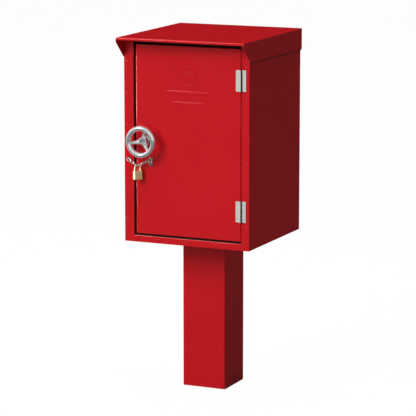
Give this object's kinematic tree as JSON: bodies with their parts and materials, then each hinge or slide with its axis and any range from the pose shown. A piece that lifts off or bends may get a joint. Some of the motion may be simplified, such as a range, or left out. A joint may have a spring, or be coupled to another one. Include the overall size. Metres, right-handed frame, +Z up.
{
  "type": "parcel box",
  "caption": "Sheet-steel parcel box with an overhanging hood on a square post, its hinged door shut by a hand wheel latch and a padlocked chain.",
  "frame": {"origin": "middle of the post's foot, on the ground", "axes": "+Z up along the post, +X to the right seen from the front, +Y to the back; the door faces -Y"},
  "size_m": [0.4352, 0.4706, 1.1485],
  "materials": {
    "red_paint": "semi-gloss red powder coat",
    "polished_chrome": "polished chrome plate",
    "hinge_steel": "satin stainless steel",
    "zinc_steel": "bright zinc plate",
    "chain_steel": "polished stainless steel",
    "brass": "satin brass",
    "seal_rubber": "matt black rubber"
  },
  "bodies": {
    "cabinet": {"post": "red_paint", "post_flange": "red_paint", "floor_pan": "red_paint", "cabinet_shell": "red_paint", "front_frame": "red_paint", "roof_hood": "red_paint", "hood_gasket": "seal_rubber", "door_seal": "seal_rubber", "flange_bolts": "zinc_steel", "flange_washers": "zinc_steel", "flange_nuts": "zinc_steel", "left_stile_rivets": "red_paint", "right_stile_rivets": "red_paint", "left_side_rivets": "red_paint", "right_side_rivets": "red_paint", "rail_rivets": "red_paint", "upper_frame_leaf": "hinge_steel", "lower_frame_leaf": "hinge_steel", "upper_hinge_pin": "hinge_steel", "lower_hinge_pin": "hinge_steel", "frame_leaf_screws": "hinge_steel", "chain_stud": "chain_steel"},
    "door": {"door_panel": "red_paint", "upper_door_leaf": "hinge_steel", "lower_door_leaf": "hinge_steel", "door_leaf_screws": "hinge_steel", "spindle_bush": "polished_chrome", "bush_nut": "zinc_steel", "chain_eye": "chain_steel", "chain_link_1": "chain_steel", "chain_link_2": "chain_steel", "chain_link_3": "chain_steel", "chain_link_4": "chain_steel", "chain_link_5": "chain_steel", "chain_link_6": "chain_steel", "padlock_shackle": "brass"},
    "wheel": {"hand_wheel": "polished_chrome", "wheel_screw": "zinc_steel", "spindle": "zinc_steel", "latch_cam": "zinc_steel", "cam_washer": "zinc_steel", "cam_nut": "zinc_steel"},
    "lock_case": {"padlock_case": "brass"},
    "lock_plug": {"key_plug": "brass"}
  },
  "joints": [
    {"name": "door_swing", "type": "hinge", "parent": "cabinet", "child": "door", "pos_m": [0.1869, -0.2114, 0.8185], "axis": [0, 0, 1], "range_deg": [0, 110]},
    {"name": "wheel_turn", "type": "hinge", "parent": "door", "child": "wheel", "pos_m": [-0.142, -0.2075, 0.817], "axis": [0, 1, 0], "range_deg": [0, 90]},
    {"name": "padlock_release", "type": "slide", "parent": "door", "child": "lock_case", "axis": [0, 0, -1], "range_m": [0, 0.008]},
    {"name": "key_turn", "type": "hinge", "parent": "lock_case", "child": "lock_plug", "pos_m": [-0.1605, -0.2255, 0.6975], "axis": [0, 0, 1], "range_deg": [0, 90]}
  ]
}
